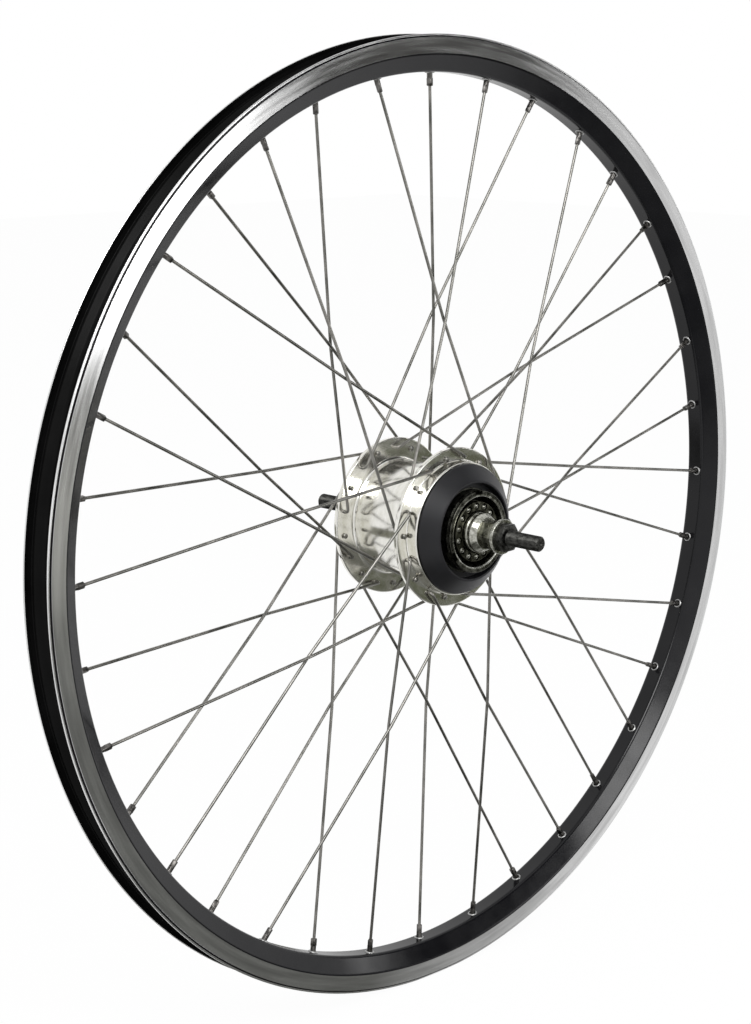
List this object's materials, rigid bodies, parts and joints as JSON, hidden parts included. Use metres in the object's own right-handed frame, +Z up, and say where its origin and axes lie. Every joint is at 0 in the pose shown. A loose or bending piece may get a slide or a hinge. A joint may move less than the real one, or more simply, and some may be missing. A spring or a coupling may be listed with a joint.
{
  "type": "bicycle wheel",
  "caption": "Rear bicycle wheel without tyre: double-wall rim with machined brake tracks, three-cross wire spokes and a large-flange planet-gear hub on a long solid axle.",
  "frame": {"origin": "the wheel's centre: where the axle meets the middle plane of the rim", "axes": "+X forward, +Y along the axle towards the left side, so the drive side faces -Y, +Z up"},
  "size_m": [0.6339, 0.2015, 0.634],
  "materials": {
    "rim_alloy": "black gloss coat with bare machined brake tracks",
    "spoke_steel": "drawn stainless wire",
    "nipple_brass": "nickel plated",
    "hub_alloy": "polished",
    "bearing_steel": "oiled",
    "axle_steel": "dark finish",
    "cone_steel": "ground bright",
    "nut_steel": "dark finish",
    "left_cap_steel": "pressed sheet",
    "driver_steel": "machined",
    "drive_cap_plastic": "moulded, dark grey",
    "gear_steel": "oiled"
  },
  "bodies": {
    "axle_set": {"axle": "axle_steel", "drive_cone": "cone_steel", "left_cone": "cone_steel", "drive_lock_nut": "nut_steel", "left_lock_nut": "nut_steel", "left_spacer": "nut_steel", "left_dust_cap": "left_cap_steel", "drive_washer": "cone_steel", "left_washer": "cone_steel", "drive_axle_nut": "axle_steel", "left_axle_nut": "axle_steel", "sun_gear": "gear_steel", "cone_ball_ring": "bearing_steel", "left_ball_ring": "bearing_steel"},
    "wheel": {"rim": "rim_alloy", "spokes_drive_outer": "spoke_steel", "spokes_drive_inner": "spoke_steel", "spokes_left_outer": "spoke_steel", "spokes_left_inner": "spoke_steel", "nipples": "nipple_brass", "hub_shell": "hub_alloy", "drive_ball_cup": "bearing_steel", "left_ball_cup": "bearing_steel"},
    "driver": {"driver": "driver_steel", "drive_dust_cap": "drive_cap_plastic", "driver_ball_ring": "bearing_steel", "planet_carrier": "gear_steel", "carrier_end_plate": "gear_steel", "planet_pins": "gear_steel"},
    "ring_gear": {"ring_gear": "gear_steel"},
    "planet_1": {"planet_gear_1": "gear_steel"},
    "planet_2": {"planet_gear_2": "gear_steel"},
    "planet_3": {"planet_gear_3": "gear_steel"}
  },
  "joints": [
    {"name": "wheel_spin", "type": "hinge", "parent": "axle_set", "child": "wheel", "pos_m": [0, 0, 0], "axis": [0, 1, 0], "continuous": true},
    {"name": "driver_spin", "type": "hinge", "parent": "axle_set", "child": "driver", "pos_m": [0, 0, 0], "axis": [0, 1, 0], "continuous": true},
    {"name": "ring_gear_spin", "type": "hinge", "parent": "axle_set", "child": "ring_gear", "pos_m": [0, 0, 0], "axis": [0, 1, 0], "continuous": true},
    {"name": "planet_1_spin", "type": "hinge", "parent": "driver", "child": "planet_1", "pos_m": [0, 0, 0.0192], "axis": [0, 1, 0], "continuous": true},
    {"name": "planet_2_spin", "type": "hinge", "parent": "driver", "child": "planet_2", "pos_m": [0.01663, 0, -0.0096], "axis": [0, 1, 0], "continuous": true},
    {"name": "planet_3_spin", "type": "hinge", "parent": "driver", "child": "planet_3", "pos_m": [-0.01663, 0, -0.0096], "axis": [0, 1, 0], "continuous": true}
  ],
  "couplings": [
    {"joint": "ring_gear_spin", "follows": "driver_spin", "ratio": 1.3333},
    {"joint": "planet_1_spin", "follows": "driver_spin", "ratio": 1},
    {"joint": "planet_2_spin", "follows": "driver_spin", "ratio": 1},
    {"joint": "planet_3_spin", "follows": "driver_spin", "ratio": 1}
  ]
}
